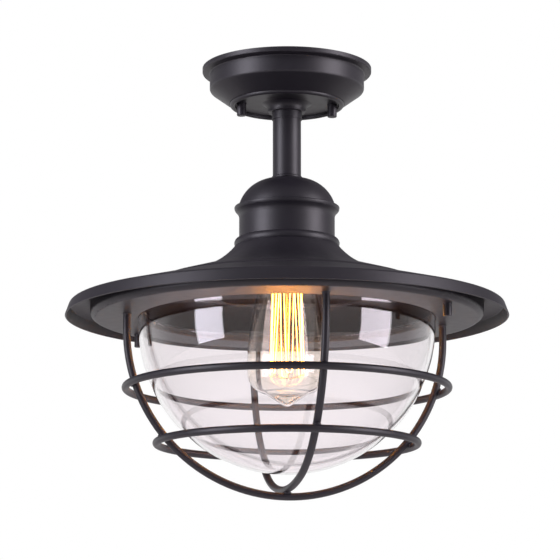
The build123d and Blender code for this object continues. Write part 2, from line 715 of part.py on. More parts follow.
# Side hoop of the cage: a half circle between two straight legs under the pan
HOOP_Z = PAN_Z - HOOP_LEG
SIDE_TURN = radians(CAGE_TURN)
FRONT_TURN = radians(CAGE_TURN + 90)


def upright(angle, height):
    """Upright plane through the lantern's axis, with its X along the given angle."""
    return Plane((0, 0, height), x_dir=(cos(angle), sin(angle), 0), z_dir=(sin(angle), -cos(angle), 0))


with BuildPart() as cage_hoop_side:
    with BuildLine(upright(SIDE_TURN, HOOP_Z)) as route:
        leg = Line((-HOOP_R, HOOP_LEG), (-HOOP_R, 0))
        half = JernArc(leg @ 1, leg % 1, HOOP_R, 180)
        Line(half @ 1, (HOOP_R, HOOP_LEG))
    with BuildSketch(Plane(route.line @ 0, z_dir=route.line % 0)):
        Circle(WIRE_D / 2)
    sweep(path=route.line)
cage_hoop_side.part.label = "cage_hoop_side"
export_step(cage_hoop_side.part, "parts/cage_hoop_side.step")

# Front hoop: the same, but flatter at the bottom, where it passes one wire above the side hoop
CORNER_R = HOOP_R - CORNER_LIFTS * HOOP_LIFT
CORNER_C = (HOOP_R - CORNER_R) / sqrt(2)  # the corner's centre, in from and below the hoop's own
BOTTOM_SINK = HOOP_R - HOOP_LIFT - CORNER_R
BOTTOM_C = (2 * CORNER_C**2 - BOTTOM_SINK**2) / (2 * (BOTTOM_SINK - CORNER_C))
BOTTOM_R = BOTTOM_C + HOOP_R - HOOP_LIFT
BOTTOM_TURN = degrees(2 * acos((BOTTOM_C + CORNER_C) / hypot(CORNER_C, BOTTOM_C + CORNER_C)))
CORNER_TURN = 45 - BOTTOM_TURN / 2
with BuildPart() as cage_hoop_front:
    with BuildLine(upright(FRONT_TURN, HOOP_Z)) as route:
        leg = Line((-HOOP_R, HOOP_LEG), (-HOOP_R, 0))
        first_side = JernArc(leg @ 1, leg % 1, HOOP_R, 45)
        first_corner = JernArc(first_side @ 1, first_side % 1, CORNER_R, CORNER_TURN)
        bottom = JernArc(first_corner @ 1, first_corner % 1, BOTTOM_R, BOTTOM_TURN)
        last_corner = JernArc(bottom @ 1, bottom % 1, CORNER_R, CORNER_TURN)
        last_side = JernArc(last_corner @ 1, last_corner % 1, HOOP_R, 45)
        Line(last_side @ 1, (HOOP_R, HOOP_LEG))
    with BuildSketch(Plane(route.line @ 0, z_dir=route.line % 0)):
        Circle(WIRE_D / 2)
    sweep(path=route.line)
cage_hoop_front.part.label = "cage_hoop_front"
export_step(cage_hoop_front.part, "parts/cage_hoop_front.step")

# Two rings round the hoops
for name, drop in (("cage_ring_upper", RING_UPPER_DROP), ("cage_ring_lower", RING_LOWER_DROP)):
    with BuildPart() as cage_ring:
        with BuildSketch(Plane.XZ):
            with Locations((sqrt((HOOP_R + HOOP_LIFT) ** 2 - drop**2), HOOP_Z - drop)):
                Circle(WIRE_D / 2)
        revolve(axis=Axis.Z)
    cage_ring.part.label = name
    export_step(cage_ring.part, f"parts/{name}.step")

# Washers and blind nuts under the canopy and under the pan
for name, spots, seat_z, nut_r in (
    ("canopy", ((-STUD_X, 0), (STUD_X, 0)), DISC_Z, CANOPY_NUT_R),
    ("cage", CAGE_STUD_SPOTS, PAN_Z, CAGE_NUT_R),
):
    for side, (spot_x, spot_y) in zip(("left", "right"), spots):
        with BuildPart() as washer:
            with BuildSketch(Plane((spot_x, spot_y, seat_z - WASHER_T))):
                Circle(nut_r + WASHER_RIM)
                Circle(STUD_HOLE_R, mode=Mode.SUBTRACT)
            extrude(amount=WASHER_T)
        washer.part.label = f"{name}_washer_{side}"
        export_step(washer.part, f"parts/{name}_washer_{side}.step")

        with BuildPart() as nut:
            with BuildSketch(Plane((spot_x, spot_y, seat_z - WASHER_T - NUT_H))):
                Circle(nut_r)
            extrude(amount=NUT_H)
            fillet(nut.edges().filter_by(GeomType.CIRCLE).group_by(Axis.Z)[0], NUT_ROUND)
            with BuildSketch(Plane((spot_x, spot_y, seat_z - WASHER_T - NUT_H + NUT_CAP))):
                Circle(STUD_R + FIT)
            extrude(amount=NUT_H - NUT_CAP, mode=Mode.SUBTRACT)
        nut.part.label = f"{name}_nut_{side}"
        export_step(nut.part, f"parts/{name}_nut_{side}.step")

# Lamp's end contact
with BuildPart() as bulb_contact:
    with BuildSketch(Plane.XY.offset(INSULATOR_Z)):
        Circle(BULB_CONTACT_R)
    extrude(amount=BULB_CONTACT_H)
    fillet(bulb_contact.edges().group_by(Axis.Z)[-1], BULB_CONTACT_H * 0.6)
bulb_contact.part.label = "bulb_contact"
export_step(bulb_contact.part, "parts/bulb_contact.step")

# Lamp's insulator, a cone between the contact and the screw base
with BuildPart() as bulb_insulator:
    with BuildSketch(Plane.XY.offset(BASE_Z)):
        Circle(BASE_LIP_R)
    with BuildSketch(Plane.XY.offset(INSULATOR_Z)):
        Circle(INSULATOR_R)
    loft()
bulb_insulator.part.label = "bulb_insulator"
export_step(bulb_insulator.part, "parts/bulb_insulator.step")

# Lamp's screw base: a shell with a turned-in top and one ridge for each turn of its thread
BASE_ROOT_R = BASE_R - BASE_RIDGE
BASE_IN_R = BASE_ROOT_R - BASE_WALL
RIDGE_TOP_Z = BASE_FOOT_Z + (THREAD_TURNS + 0.5) * THREAD_PITCH
with BuildPart() as bulb_base:
    with BuildSketch(Plane.XZ):
        with BuildLine():
            Polyline(
                (BASE_ROOT_R, BASE_FOOT_Z),
                (BASE_IN_R, BASE_FOOT_Z),
                (BASE_IN_R, RIDGE_TOP_Z),
                (BASE_LIP_R - BASE_WALL, BASE_Z - BASE_WALL),
                (BASE_LIP_R - BASE_LIP_W, BASE_Z - BASE_WALL),
                (BASE_LIP_R - BASE_LIP_W, BASE_Z),
                (BASE_LIP_R, BASE_Z),
                (BASE_ROOT_R, RIDGE_TOP_Z),
                close=True,
            )
        make_face()
    revolve(axis=Axis.Z)
    for turn in range(THREAD_TURNS):
        ridge_z = BASE_FOOT_Z + (turn + 0.75) * THREAD_PITCH
        with BuildSketch(Plane.XZ):
            with BuildLine():
                crest = ThreePointArc(
                    (BASE_ROOT_R, ridge_z - THREAD_PITCH / 3),
                    (BASE_R, ridge_z),
                    (BASE_ROOT_R, ridge_z + THREAD_PITCH / 3),
                )
                Polyline(
                    crest @ 1,
                    (BASE_ROOT_R - BASE_WALL / 2, ridge_z + THREAD_PITCH / 3),
                    (BASE_ROOT_R - BASE_WALL / 2, ridge_z - THREAD_PITCH / 3),
                    crest @ 0,
                )
            make_face()
        revolve(axis=Axis.Z)
bulb_base.part.label = "bulb_base"
export_step(bulb_base.part, "parts/bulb_base.step")

# Lamp's glass: a neck, a shoulder, long sides and a low cone with a rounded tip
SLOPE_COS = cos(radians(BULB_SLOPE))
SIDE_COS = cos(radians(BULB_SIDE_TURN))
SHOULDER_OUT = BULB_SHOULDER_R * (SIDE_COS - SLOPE_COS)
SIDE_OUT = BULB_SIDE_R * (1 - SIDE_COS)
NECK_CURVE_R = (BULB_R - BULB_NECK_R - SHOULDER_OUT - SIDE_OUT) / (1 - SLOPE_COS)
NECK_CURVE_Z = BASE_FOOT_Z + BULB_NECK_IN
NECK_END_Z = NECK_CURVE_Z + BULB_NECK_END
BULB_TIP_WAY = (-cos(radians(BULB_TIP_SLOPE)), -sin(radians(BULB_TIP_SLOPE)))
BULB_TIP_REACH = BULB_TIP_R * sin(radians(BULB_TIP_SLOPE))
with BuildPart() as bulb_glass:
    with BuildSketch(Plane.XZ):
        with BuildLine():
            neck = Line((BULB_NECK_R, NECK_END_Z), (BULB_NECK_R, NECK_CURVE_Z))
            curve = JernArc(neck @ 1, neck % 1, NECK_CURVE_R, BULB_SLOPE)
            shoulder = JernArc(curve @ 1, curve % 1, BULB_SHOULDER_R, BULB_SIDE_TURN - BULB_SLOPE)
            side = JernArc(shoulder @ 1, shoulder % 1, BULB_SIDE_R, -BULB_SIDE_TURN)
            low = JernArc(side @ 1, side % 1, BULB_LOW_R, BULB_TIP_SLOPE - 90)
            cone_l = ((low @ 1).X - BULB_TIP_REACH) / cos(radians(BULB_TIP_SLOPE))
            cone = Line(low @ 1, low @ 1 + Vector(*BULB_TIP_WAY) * cone_l)
            JernArc(cone @ 1, cone % 1, BULB_TIP_R, -BULB_TIP_SLOPE)
            offset(amount=BULB_T, side=Side.RIGHT)
        make_face()
    revolve(axis=Axis.Z)
bulb_glass.part.label = "bulb_glass"
export_step(bulb_glass.part, "parts/bulb_glass.step")

# Lamp's glass mount: a flare in the neck, a rod with a button, and a thin post down to the lower hub
HOOK_TOP_Z = BASE_FOOT_Z - FILAMENT_DROP
HOOK_FOOT_Z = HOOK_TOP_Z - FILAMENT_H
BUTTON_Z = HOOK_TOP_Z - BUTTON_H / 2
HUB_Z = HOOK_FOOT_Z - HUB_DROP - HUB_H / 2
MOUNT_FLARE_R = BULB_NECK_R - BULB_T - FIT
with BuildPart() as bulb_mount:
    with BuildSketch(Plane.XZ):
        with BuildLine():
            Polyline(
                (0, NECK_END_Z),
                (MOUNT_FLARE_R, NECK_END_Z),
                (MOUNT_FLARE_R, NECK_END_Z - BULB_T),
                (MOUNT_R, NECK_END_Z - MOUNT_FLARE_H),
                (MOUNT_R, BUTTON_Z + BUTTON_H),
                (BUTTON_R, BUTTON_Z + BUTTON_H),
                (BUTTON_R, BUTTON_Z),
                (POST_R, BUTTON_Z),
                (POST_R, HUB_Z + HUB_H),
                (HUB_R, HUB_Z + HUB_H),
                (HUB_R, HUB_Z),
                (0, HUB_Z),
                close=True,
            )
        make_face()
    revolve(axis=Axis.Z)
bulb_mount.part.label = "bulb_mount"
export_step(bulb_mount.part, "parts/bulb_mount.step")


def hook(index):
    """Where the filament turns: even turns are the upper hooks and odd turns the lower ones."""
    angle = radians(FILAMENT_TURN) + pi * index / FILAMENT_HOOKS
    radius, height = (FILAMENT_FOOT_R, HOOK_FOOT_Z) if index % 2 else (FILAMENT_TOP_R, HOOK_TOP_Z)
    return Vector(radius * cos(angle), radius * sin(angle), height)


# Filament: straight strands up and down between the hooks, all the way round, with a bead at each turn
with BuildPart() as bulb_filament:
    for turn in range(2 * FILAMENT_HOOKS):
        strand = hook(turn + 1) - hook(turn)
        with BuildSketch(Plane(hook(turn), z_dir=strand)):
            Circle(FILAMENT_R)
        extrude(amount=strand.length)
        with Locations(hook(turn)):
            Sphere(HOOK_R)
bulb_filament.part.label = "bulb_filament"
export_step(bulb_filament.part, "parts/bulb_filament.step")

# Support wires, from the button and from the hub out to the hooks
with BuildPart() as filament_supports:
    for turn in range(2 * FILAMENT_HOOKS):
        root_r = HUB_R if turn % 2 else BUTTON_R
        root_z = HUB_Z + HUB_H / 2 if turn % 2 else BUTTON_Z + BUTTON_H / 2
        angle = radians(FILAMENT_TURN) + pi * turn / FILAMENT_HOOKS
        root = Vector((root_r + WELD_GAP) * cos(angle), (root_r + WELD_GAP) * sin(angle), root_z)
        support = hook(turn) - root
        with BuildSketch(Plane(root, z_dir=support)):
            Circle(SUPPORT_R)
        extrude(amount=support.length - HOOK_R - WELD_GAP)
filament_supports.part.label = "filament_supports"
export_step(filament_supports.part, "parts/filament_supports.step")
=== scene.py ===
import json

import bmesh
import bpy
import numpy as np
from mathutils import Matrix, Vector


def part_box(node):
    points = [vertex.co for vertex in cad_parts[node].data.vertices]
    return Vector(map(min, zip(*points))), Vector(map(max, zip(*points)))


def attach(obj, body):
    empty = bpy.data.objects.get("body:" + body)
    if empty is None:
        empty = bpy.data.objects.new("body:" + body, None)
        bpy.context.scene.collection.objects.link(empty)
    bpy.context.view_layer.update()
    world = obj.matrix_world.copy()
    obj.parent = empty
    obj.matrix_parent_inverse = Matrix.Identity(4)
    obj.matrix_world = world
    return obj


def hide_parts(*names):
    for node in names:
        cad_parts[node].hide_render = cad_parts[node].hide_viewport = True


# Looks of a caged ceiling lantern: a studio, a camera, a finish for every piece, and the fine
# pieces that the solids leave plain: threads, grips, blown glass, welds and the lamp's wires.
# Metres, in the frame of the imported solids: the origin is on the ceiling, +Z is up.

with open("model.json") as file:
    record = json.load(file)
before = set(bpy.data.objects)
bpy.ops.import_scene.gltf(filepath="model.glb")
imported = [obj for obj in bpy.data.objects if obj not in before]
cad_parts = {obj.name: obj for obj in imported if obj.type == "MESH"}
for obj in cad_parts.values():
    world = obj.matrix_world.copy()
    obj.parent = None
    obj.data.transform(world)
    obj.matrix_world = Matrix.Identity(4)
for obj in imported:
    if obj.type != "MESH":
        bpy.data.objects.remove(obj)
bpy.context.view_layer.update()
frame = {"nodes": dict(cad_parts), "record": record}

MM = 0.001
TAU = 2 * np.pi
WHITE = (1, 1, 1, 1)


def linear(code):
    """Linear colour with alpha from an sRGB hex code: the sRGB curve undone for each channel."""
    srgb = np.array([int(code[i : i + 2], 16) for i in (1, 3, 5)]) / 255
    rgb = np.where(srgb <= 0.04045, srgb / 12.92, ((srgb + 0.055) / 1.055) ** 2.4)
    return (*rgb.tolist(), 1.0)


def per_mm(size):
    """Texture scale for features of a size in millimetres, on coordinates in metres."""
    return 1000 / size


def add(tree, kind, inputs=None, **settings):
    """Adds a node: settings are its own properties, and inputs are set to a value or linked to a socket."""
    node = tree.nodes.new(kind)
    for key, value in settings.items():
        setattr(node, key, value)
    for key, value in (inputs or {}).items():
        if isinstance(value, bpy.types.NodeSocket):
            tree.links.new(value, node.inputs[key])
        else:
            node.inputs[key].default_value = value
    return node


# Studio: a white backdrop behind the lantern, a dim room with a paler ceiling, and two soft boxes
CAMERA_TURN = np.radians(-3.7)
CAMERA_AWAY = 1.938
CAMERA_HEIGHT = -0.5324
CAMERA_PITCH = np.radians(10.44)
CAMERA_YAW = np.radians(0.166)
CAMERA_LENS = 157.3
SENSOR_W = 36
SOFT_BOX_AWAY = 1.35
SOFT_BOX_HEIGHT = 0.2
SOFT_BOX_TALL = 1.5
SOFT_BOX_WATTS = 22.5
FLOOR_DROP = 1.2
FLOOR_HALF = 4.0
FLOOR_PAINT = "#f4eeec"
FLOOR_SEEN = 0.72
FLOOR_MIRRORED = 0.24
ROOM_TINT = "#fbf5fd"
ROOM_LIGHT = 0.13
CEILING_LIGHT = 0.36
BACKDROP_LIGHT = 0.85

# Where the backdrop and the ceiling fade, as the Y or Z of a ray's way
BACKDROP_Y_FROM = 0.2
BACKDROP_Y_FULL = 0.7
BACKDROP_Z_FULL = 0.08
BACKDROP_Z_END = 0.3
CEILING_Z_FROM = 0.1
CEILING_Z_FULL = 0.9


def seen_directly(tree, path):
    """One for a ray from the camera or through glass, else nought."""
    either = {0: path["Is Camera Ray"], 1: path["Is Transmission Ray"]}
    return add(tree, "ShaderNodeMath", either, operation="MAXIMUM").outputs[0]


def build_world():
    """World: white to the camera and through glass, and where metal and glass mirror the backdrop,
    which stands low behind the lantern. Else a dim room that grows paler overhead."""
    world = bpy.data.worlds.new("studio")
    world.use_nodes = True
    tree = world.node_tree
    tree.nodes.clear()
    way = add(tree, "ShaderNodeTexCoord").outputs["Generated"]
    parts = add(tree, "ShaderNodeSeparateXYZ", {"Vector": way}).outputs
    behind = add(
        tree,
        "ShaderNodeMapRange",
        {"Value": parts["Y"], "From Min": BACKDROP_Y_FROM, "From Max": BACKDROP_Y_FULL},
    )
    low = add(
        tree,
        "ShaderNodeMapRange",
        {
            "Value": parts["Z"],
            "From Min": BACKDROP_Z_FULL,
            "From Max": BACKDROP_Z_END,
            "To Min": 1.0,
            "To Max": 0.0,
        },
    )
    backdrop = add(
        tree,
        "ShaderNodeMath",
        {0: behind.outputs[0], 1: low.outputs[0]},
        operation="MULTIPLY",
    ).outputs[0]
    path = add(tree, "ShaderNodeLightPath").outputs
    mirrored = add(
        tree,
        "ShaderNodeMath",
        {0: path["Is Glossy Ray"], 1: backdrop},
        operation="MULTIPLY",
    )
    seen = add(
        tree,
        "ShaderNodeMath",
        {0: seen_directly(tree, path), 1: mirrored.outputs[0]},
        operation="MAXIMUM",
    )
    room = add(
        tree,
        "ShaderNodeMapRange",
        {
            "Value": parts["Z"],
            "From Min": CEILING_Z_FROM,
            "From Max": CEILING_Z_FULL,
            "To Min": ROOM_LIGHT,
            "To Max": CEILING_LIGHT,
        },
    )
    level = add(
        tree,
        "ShaderNodeMath",
        {0: backdrop, 1: BACKDROP_LIGHT, 2: room.outputs[0]},
        operation="MULTIPLY_ADD",
    )
    dim = add(tree, "ShaderNodeBackground", {"Color": linear(ROOM_TINT), "Strength": level.outputs[0]})
    white = add(tree, "ShaderNodeBackground", {"Color": WHITE, "Strength": 1.0})
    mix = add(tree, "ShaderNodeMixShader", {0: seen.outputs[0], 1: dim.outputs[0], 2: white.outputs[0]})
    add(tree, "ShaderNodeOutputWorld", {"Surface": mix.outputs[0]})
    bpy.context.scene.world = world


def build_floor():
    """Pale floor below the lantern: a flat grid of four corners. It keeps shadows, and it glows to look
    white to the camera, through glass and, less so, mirrored in metal. From below it is clear, so that
    the lantern shows."""
    plan = FLOOR_HALF * np.array([(-1, -1), (1, -1), (1, 1), (-1, 1)])
    mesh = bpy.data.meshes.new("studio_floor")
    mesh.from_pydata([(x, y, -FLOOR_DROP) for x, y in plan], [], [(0, 1, 2, 3)])
    floor = bpy.data.objects.new("studio_floor", mesh)
    bpy.context.scene.collection.objects.link(floor)
    material = bpy.data.materials.new("pale_floor")
    material.use_nodes = True
    tree = material.node_tree
    tree.nodes.clear()
    path = add(tree, "ShaderNodeLightPath").outputs
    seen = add(
        tree,
        "ShaderNodeMath",
        {0: seen_directly(tree, path), 1: FLOOR_SEEN},
        operation="MULTIPLY",
    )
    level = add(
        tree,
        "ShaderNodeMath",
        {0: path["Is Glossy Ray"], 1: FLOOR_MIRRORED, 2: seen.outputs[0]},
        operation="MULTIPLY_ADD",
    )
    paint = add(tree, "ShaderNodeBsdfDiffuse", {"Color": linear(FLOOR_PAINT)})
    glow = add(tree, "ShaderNodeEmission", {"Color": WHITE, "Strength": level.outputs[0]})
    both = add(tree, "ShaderNodeAddShader", {0: paint.outputs[0], 1: glow.outputs[0]})
    below = add(tree, "ShaderNodeNewGeometry").outputs["Backfacing"]
    clear = add(tree, "ShaderNodeBsdfTransparent")
    mix = add(tree, "ShaderNodeMixShader", {0: below, 1: both.outputs[0], 2: clear.outputs[0]})
    add(tree, "ShaderNodeOutputMaterial", {"Surface": mix.outputs[0]})
    mesh.materials.append(material)


def build_soft_box(name, turn, wide, tint):
    """Tall soft box, turned by an angle in degrees from the camera's side and facing the lantern's axis."""
    light = bpy.data.lights.new(name, "AREA")
    light.color = linear(tint)[:3]
    light.shape = "RECTANGLE"
    light.size = wide
    light.size_y = SOFT_BOX_TALL
    light.energy = SOFT_BOX_WATTS
    lamp = bpy.data.objects.new(name, light)
    angle = np.radians(turn) + CAMERA_TURN
    lamp.location = (SOFT_BOX_AWAY * np.sin(angle), -SOFT_BOX_AWAY * np.cos(angle), SOFT_BOX_HEIGHT)
    aim = Vector((0, 0, SOFT_BOX_HEIGHT)) - lamp.location
    lamp.rotation_euler = aim.to_track_quat("-Z", "Y").to_euler()
    bpy.context.scene.collection.objects.link(lamp)


def build_camera():
    """Camera below the lantern, on the side that the photograph shows, looking slightly up."""
    data = bpy.data.cameras.new("camera")
    data.lens = CAMERA_LENS
    data.sensor_width = SENSOR_W
    camera = bpy.data.objects.new("camera", data)
    place = Matrix.Rotation(CAMERA_TURN, 4, "Z")
    place @= Matrix.Translation((0, -CAMERA_AWAY, CAMERA_HEIGHT))
    place @= Matrix.Rotation(CAMERA_YAW, 4, "Z")
    place @= Matrix.Rotation(np.pi / 2 + CAMERA_PITCH, 4, "X")
    camera.matrix_world = place
    bpy.context.scene.collection.objects.link(camera)
    bpy.context.scene.camera = camera


# Finishes: sizes and depths in millimetres
WIDE_BLEND = (0.3, 0.7)
NARROW_BLEND = (0.35, 0.65)
GLASS_IOR = 1.52
FILAMENT_GLOW = 110.0


def start_material(name):
    """An empty material with a Principled shader on its output, and its object coordinates."""
    material = bpy.data.materials.new(name)
    material.use_nodes = True
    tree = material.node_tree
    tree.nodes.clear()
    shader = add(tree, "ShaderNodeBsdfPrincipled")
    add(tree, "ShaderNodeOutputMaterial", {"Surface": shader.outputs[0]})
    place = add(tree, "ShaderNodeTexCoord").outputs["Object"]
    return material, tree, shader, place


def patches(tree, place, size, detail, tones, blend):
    """Two tones in patches of a size: a noise, and the colour that a ramp gives it over the blend."""
    noise = add(tree, "ShaderNodeTexNoise", {"Vector": place, "Scale": per_mm(size), "Detail": detail})
    ramp = add(tree, "ShaderNodeValToRGB", {"Fac": noise.outputs["Fac"]})
    for index in range(2):
        ramp.color_ramp.elements[index].position = blend[index]
        ramp.color_ramp.elements[index].color = linear(tones[index])
    return noise.outputs["Fac"], ramp.outputs["Color"]


def raise_grain(tree, shader, place, size, detail, strength, depth):
    """Gives the shader bumps of a size and depth: a noise read as height."""
    noise = add(tree, "ShaderNodeTexNoise", {"Vector": place, "Scale": per_mm(size), "Detail": detail})
    bump = add(
        tree,
        "ShaderNodeBump",
        {"Height": noise.outputs["Fac"], "Strength": strength, "Distance": depth * MM},
    )
    tree.links.new(bump.outputs[0], shader.inputs["Normal"])


def powder_coat():
    """Satin black powder coat on steel: baked polyester, faintly pebbled, so highlights are broad and
    soft. The pebbles are drawn coarser than real ones, so that they show."""
    material, tree, shader, place = start_material("satin_black_powder_coat")
    tone = patches(tree, place, 45, 3.0, ("#17151b", "#1e1b22"), WIDE_BLEND)[1]
    tree.links.new(tone, shader.inputs["Base Color"])
    film = add(tree, "ShaderNodeTexNoise", {"Vector": place, "Scale": per_mm(8), "Detail": 2.0})
    rough = add(tree, "ShaderNodeMapRange", {"Value": film.outputs["Fac"], "To Min": 0.42, "To Max": 0.50})
    tree.links.new(rough.outputs[0], shader.inputs["Roughness"])
    raise_grain(tree, shader, place, size=1.6, detail=1.0, strength=0.3, depth=0.05)
    return material


def plain_metal(name, tones, rough, size=4.0):
    """Bare or plated metal: two tones in small patches, with the roughness following them."""
    material, tree, shader, place = start_material(name)
    shader.inputs["Metallic"].default_value = 1.0
    level, tone = patches(tree, place, size, 5.0, tones, NARROW_BLEND)
    tree.links.new(tone, shader.inputs["Base Color"])
    sheen = add(tree, "ShaderNodeMapRange", {"Value": level, "To Min": rough[0], "To Max": rough[1]})
    tree.links.new(sheen.outputs[0], shader.inputs["Roughness"])
    return material


def moulded(name, tones, rough, size, depth):
    """Moulded or glazed stuff: two close tones in patches, and a fine surface grain of a size and depth."""
    material, tree, shader, place = start_material(name)
    shader.inputs["Roughness"].default_value = rough
    tone = patches(tree, place, 12, 3.0, tones, NARROW_BLEND)[1]
    tree.links.new(tone, shader.inputs["Base Color"])
    raise_grain(tree, shader, place, size, detail=1.0, strength=0.4, depth=depth)
    return material


def clear_glass(name, tint, size, depth):
    """Clear blown glass with a faint tint and slow waves of a size and depth in its skin. Light from the
    lamps goes straight through it."""
    material, tree, shader, place = start_material(name)
    shader.inputs["Base Color"].default_value = linear(tint)
    shader.inputs["Roughness"].default_value = 0.0
    shader.inputs["IOR"].default_value = GLASS_IOR
    shader.inputs["Transmission Weight"].default_value = 1.0
    raise_grain(tree, shader, place, size, detail=0.0, strength=1.0, depth=depth)
    path = add(tree, "ShaderNodeLightPath").outputs
    clear = add(tree, "ShaderNodeBsdfTransparent", {"Color": linear(tint)})
    mix = add(
        tree,
        "ShaderNodeMixShader",
        {0: path["Is Shadow Ray"], 1: shader.outputs[0], 2: clear.outputs[0]},
    )
    out = [node for node in tree.nodes if node.type == "OUTPUT_MATERIAL"][0]
    tree.links.new(mix.outputs[0], out.inputs["Surface"])
    return material


def glowing_wire():
    """Carbon filament at about 2000 K: its own brown hardly shows against the light that it gives."""
    material, tree, shader, place = start_material("glowing_carbon_filament")
    shader.inputs["Base Color"].default_value = linear("#4a3a30")
    shader.inputs["Roughness"].default_value = 0.6
    tone = patches(tree, place, 9, 2.0, ("#ffa23c", "#ffb552"), WIDE_BLEND)[1]
    tree.links.new(tone, shader.inputs["Emission Color"])
    shader.inputs["Emission Strength"].default_value = FILAMENT_GLOW
    return material


FINISHES = {
    "black_powder_coat": powder_coat(),
    # Bright plating: cool grey, with blurred highlights
    "zinc_plated_steel": plain_metal("zinc_plated_steel", ("#a9adb0", "#c9cac4"), (0.26, 0.42)),
    # Dyed plating: green, and still a metal
    "green_screw": plain_metal("green_dyed_zinc", ("#2c6b3c", "#3d8a50"), (0.3, 0.42)),
    # Fired glaze: cream white, with small sharp highlights
    "porcelain": moulded("white_glazed_porcelain", ("#e6e0d3", "#f0ebe1"), 0.14, size=2.5, depth=0.02),
    # Stamped sheet: yellow, and fairly bright
    "brass": plain_metal("stamped_brass", ("#b28a45", "#cfa860"), (0.24, 0.4)),
    # Extruded skins of the leads: smooth, with a dull shine
    "black_lead": moulded("black_pvc_insulation", ("#141416", "#1d1d1f"), 0.45, size=0.8, depth=0.02),
    "white_lead": moulded("white_pvc_insulation", ("#e2e1dc", "#eeede9"), 0.45, size=0.8, depth=0.02),
    # Injection moulding: even orange, half dull
    "connector_plastic": moulded("orange_nylon", ("#c4611a", "#d67325"), 0.42, size=0.8, depth=0.03),
    # Cut sheet rubber: nearly black, with no shine
    "gasket_rubber": moulded("black_rubber", ("#151515", "#202020"), 0.8, size=0.8, depth=0.04),
    # Thick glass with long waves, and thin glass with short ones
    "clear_glass": clear_glass("clear_blown_glass", "#fbf7f9", size=60, depth=0.05),
    "lamp_glass": clear_glass("clear_lamp_glass", "#fbf7f0", size=25, depth=0.02),
    # Rolled thin sheet: paler than the stamped brass
    "lamp_base_metal": plain_metal("rolled_brass", ("#b8975a", "#d2b478"), (0.22, 0.36)),
    # Dipped solder: grey and patchy
    "lamp_solder": plain_metal("tin_solder", ("#8f9190", "#b4b5b1"), (0.3, 0.5), size=2.0),
    # Fused glass: black and shiny
    "lamp_insulator": moulded("black_vitreous_insulator", ("#121014", "#1c1820"), 0.15, size=1.5, depth=0.02),
    "filament": glowing_wire(),
    # Drawn wire: dull grey
    "support_wire": plain_metal("drawn_wire", ("#8b8781", "#aaa59d"), (0.3, 0.45), size=2.0),
}
for part in frame["record"]["subparts"]:
    mesh = frame["nodes"][part["node"]].data
    mesh.materials.clear()
    mesh.materials.append(FINISHES[part["material_slot"]])


# Shapes
MERGE = 0.001 * MM
SHARP = np.radians(40)


def corners(node):
    """A node's lowest and highest corner, as two arrays."""
    return np.array(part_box(node)[0]), np.array(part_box(node)[1])


def surface(name, grids, body, slot, *nodes):
    """One piece from grids of points, rows by columns: neighbours make quads, and seams and poles are
    merged. It replaces the nodes."""
    points = np.concatenate([grid.reshape(-1, 3) for grid in grids])
    quads = []
    start = 0
    for grid in grids:
        rows, columns = grid.shape[:2]
        index = start + np.arange(rows * columns).reshape(rows, columns)
        around = (index[:-1, :-1], index[:-1, 1:], index[1:, 1:], index[1:, :-1])
        quads.append(np.stack(around, axis=-1).reshape(-1, 4))
        start += rows * columns
    mesh = bpy.data.meshes.new(name)
    mesh.from_pydata(points.tolist(), [], np.concatenate(quads).tolist())
    shell = bmesh.new()
    shell.from_mesh(mesh)
    bmesh.ops.remove_doubles(shell, verts=shell.verts, dist=MERGE)
    bmesh.ops.recalc_face_normals(shell, faces=shell.faces)
    shell.to_mesh(mesh)
    shell.free()
    mesh.shade_smooth()
    mesh.set_sharp_from_angle(angle=SHARP)
    mesh.materials.append(FINISHES[slot])
    piece = bpy.data.objects.new(name, mesh)
    bpy.context.scene.collection.objects.link(piece)
    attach(piece, body)
    if nodes:
        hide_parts(*nodes)


def upright(reach, turn, height, spot=(0.0, 0.0)):
    """Points at a reach and a turn round an upright axis over a spot, at a height."""
    x = spot[0] + reach * np.cos(turn)
    y = spot[1] + reach * np.sin(turn)
    return np.stack(np.broadcast_arrays(x, y, height), axis=-1)


def wire(path, radius, aside, sides=10, closed=False):
    """A round wire: a circle carried along a path and square to it; aside is a way the path never runs."""
    if closed:
        ahead = np.roll(path, -1, axis=0) - np.roll(path, 1, axis=0)
    else:
        ahead = np.gradient(path, axis=0)
    ahead = ahead / np.linalg.norm(ahead, axis=1, keepdims=True)
    across = np.cross(ahead, aside)
    across = across / np.linalg.norm(across, axis=1, keepdims=True)
    over = np.cross(across, ahead)
    turn = np.linspace(0, TAU, sides + 1)[None, :, None]
    rings = path[:, None] + radius * (np.cos(turn) * across[:, None] + np.sin(turn) * over[:, None])
    if closed:
        return np.concatenate([rings, rings[:1]])
    ends = np.repeat(path[[0, -1], None], sides + 1, axis=1)
    return np.concatenate([ends[:1], rings, ends[1:]])


# Threads of the pipe and of the four studs
THREAD_STEPS = 6  # rows for each turn
THREAD_DEPTH = 0.6  # share of the pitch
PIPE_BORE_R = 3.5 * MM
PIPE_PITCH = 1.0 * MM
PIPE_SIDES = 40
STUD_PITCH = 0.7 * MM
BRIM_FALL = np.tan(np.radians(14.4))


